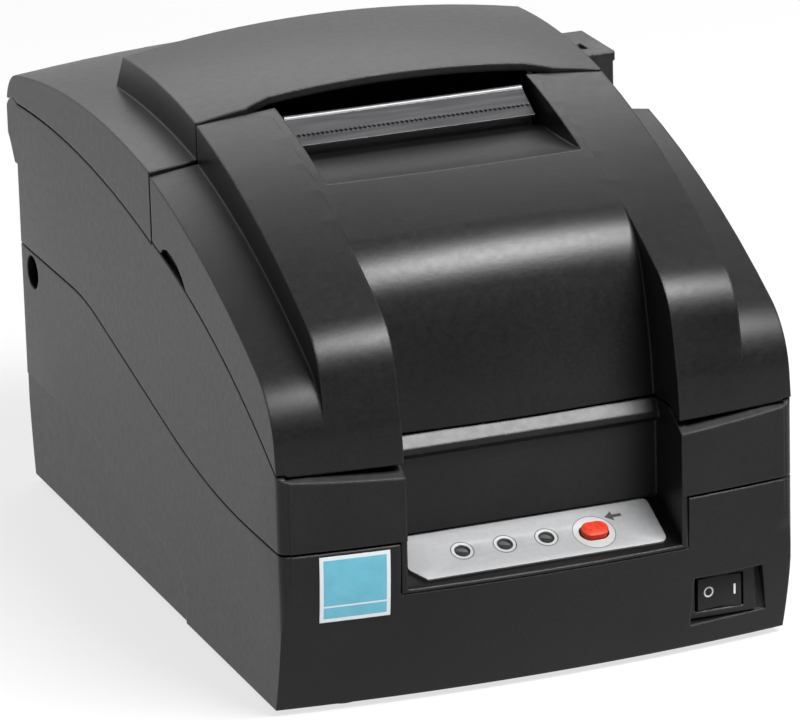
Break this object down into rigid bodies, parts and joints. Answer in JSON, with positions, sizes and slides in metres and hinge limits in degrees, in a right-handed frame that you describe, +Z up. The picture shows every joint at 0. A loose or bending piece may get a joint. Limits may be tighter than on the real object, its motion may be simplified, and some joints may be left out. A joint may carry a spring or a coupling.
{
  "type": "receipt printer",
  "caption": "Boxy desktop impact receipt printer with hinged front and paper covers, tear bar, control strip and an internal print carriage.",
  "frame": {"origin": "centre of the bounding box in X and Y, at the soles of the feet", "axes": "+Z up, +Y towards the back of the printer, +X to the right seen from the front"},
  "size_m": [0.1616, 0.2501, 0.1623],
  "materials": {
    "case_plastic": "fine-textured charcoal",
    "dark_plastic": "fine-textured black",
    "bright_steel": "zinc plated",
    "tear_steel": "bright edge",
    "overlay_film": "silver-grey film",
    "lamp_window": "smoked clear",
    "button_cap": "orange",
    "label_film": "light blue film",
    "rubber": "black",
    "motor_metal": "grey",
    "white_plastic": "natural acetal",
    "brass": "turned",
    "board": "green laminate",
    "ribbon_cloth": "inked",
    "knob_plastic": "blue"
  },
  "bodies": {
    "base": {"lower_case": "case_plastic", "upper_case": "case_plastic", "tear_bar": "tear_steel", "control_overlay": "overlay_film", "status_leds": "lamp_window", "power_switch_body": "dark_plastic", "front_sticker": "label_film", "rubber_feet": "rubber", "mech_frame": "bright_steel", "platen_bar": "bright_steel", "carriage_rod": "bright_steel", "guide_rod": "bright_steel", "carriage_motor": "motor_metal", "carriage_belt": "rubber", "idler_stud": "bright_steel", "feed_motor": "motor_metal", "ribbon_cassette": "dark_plastic", "ribbon": "ribbon_cloth", "paper_bin": "dark_plastic", "paper_end_sensor": "dark_plastic", "main_board": "board", "power_jack": "dark_plastic", "drawer_socket": "dark_plastic", "usb_socket": "bright_steel", "control_board": "board", "paper_hinge_rod": "bright_steel", "front_hinge_pins": "bright_steel", "lever_pin": "bright_steel", "lever_spring": "bright_steel", "case_screws": "bright_steel", "frame_screws": "bright_steel"},
    "front_door": {"front_cover": "case_plastic"},
    "paper_door": {"paper_cover": "case_plastic"},
    "lever": {"cover_lever": "dark_plastic"},
    "button": {"feed_button": "button_cap"},
    "rocker": {"power_rocker": "dark_plastic"},
    "carriage": {"print_carriage": "dark_plastic", "print_head": "motor_metal"},
    "motor_pulley": {"drive_pulley": "white_plastic"},
    "end_pulley": {"idler_pulley": "white_plastic"},
    "feed": {"feed_shaft": "bright_steel", "feed_rollers": "rubber", "feed_gear": "white_plastic"},
    "idler": {"idler_gear": "white_plastic"},
    "pinion": {"motor_pinion": "brass"},
    "pinch": {"pinch_shaft": "bright_steel", "pinch_rollers": "white_plastic"},
    "knob": {"ribbon_knob": "knob_plastic"}
  },
  "joints": [
    {"name": "front_cover_hinge", "type": "hinge", "parent": "base", "child": "front_door", "pos_m": [0, -0.1147, 0.06], "axis": [1, 0, 0], "range_deg": [0, 55]},
    {"name": "paper_cover_hinge", "type": "hinge", "parent": "base", "child": "paper_door", "pos_m": [0, 0.1183, 0.119], "axis": [-1, 0, 0], "range_deg": [0, 80]},
    {"name": "lever_pivot", "type": "hinge", "parent": "base", "child": "lever", "pos_m": [0.075, 0.0206, 0.11], "axis": [-1, 0, 0], "range_deg": [0, 12], "stiffness_Nm_per_rad": 0.12, "springref_deg": -6.88, "deforming": ["lever_spring"]},
    {"name": "feed_button_press", "type": "slide", "parent": "base", "child": "button", "axis": [0, 0.4384, -0.8988], "range_m": [0, 0.0008], "stiffness_N_per_m": 900, "springref_m": -0.0002},
    {"name": "power_rocker_tilt", "type": "hinge", "parent": "base", "child": "rocker", "pos_m": [0.0583, -0.1106, 0.0178], "axis": [0, 0, 1], "range_deg": [-7, 7]},
    {"name": "carriage_travel", "type": "slide", "parent": "base", "child": "carriage", "axis": [1, 0, 0], "range_m": [-0.034, 0.034]},
    {"name": "motor_pulley_turn", "type": "hinge", "parent": "base", "child": "motor_pulley", "pos_m": [-0.046, -0.093, 0.056], "axis": [0, 1, 0], "range_deg": [-360, 360]},
    {"name": "end_pulley_turn", "type": "hinge", "parent": "base", "child": "end_pulley", "pos_m": [0.056, -0.093, 0.056], "axis": [0, 1, 0], "range_deg": [-360, 360]},
    {"name": "feed_turn", "type": "hinge", "parent": "base", "child": "feed", "pos_m": [0, -0.034, 0.092], "axis": [1, 0, 0], "continuous": true},
    {"name": "idler_turn", "type": "hinge", "parent": "base", "child": "idler", "pos_m": [0.072, -0.0524, 0.0782], "axis": [1, 0, 0], "continuous": true},
    {"name": "pinion_turn", "type": "hinge", "parent": "base", "child": "pinion", "pos_m": [0.072, -0.0444, 0.0667], "axis": [1, 0, 0], "continuous": true},
    {"name": "pinch_turn", "type": "hinge", "parent": "base", "child": "pinch", "pos_m": [0, -0.0452, 0.092], "axis": [1, 0, 0], "continuous": true},
    {"name": "ribbon_knob_turn", "type": "hinge", "parent": "base", "child": "knob", "pos_m": [-0.042, -0.066, 0.12], "axis": [0, 0, 1], "continuous": true}
  ],
  "couplings": [
    {"joint": "motor_pulley_turn", "follows": "carriage_travel", "rad_per_m": 151.52},
    {"joint": "end_pulley_turn", "follows": "carriage_travel", "rad_per_m": 151.52},
    {"joint": "idler_turn", "follows": "feed_turn", "ratio": -1.5556},
    {"joint": "pinion_turn", "follows": "feed_turn", "ratio": 2.8},
    {"joint": "pinch_turn", "follows": "feed_turn", "ratio": -1.75}
  ]
}
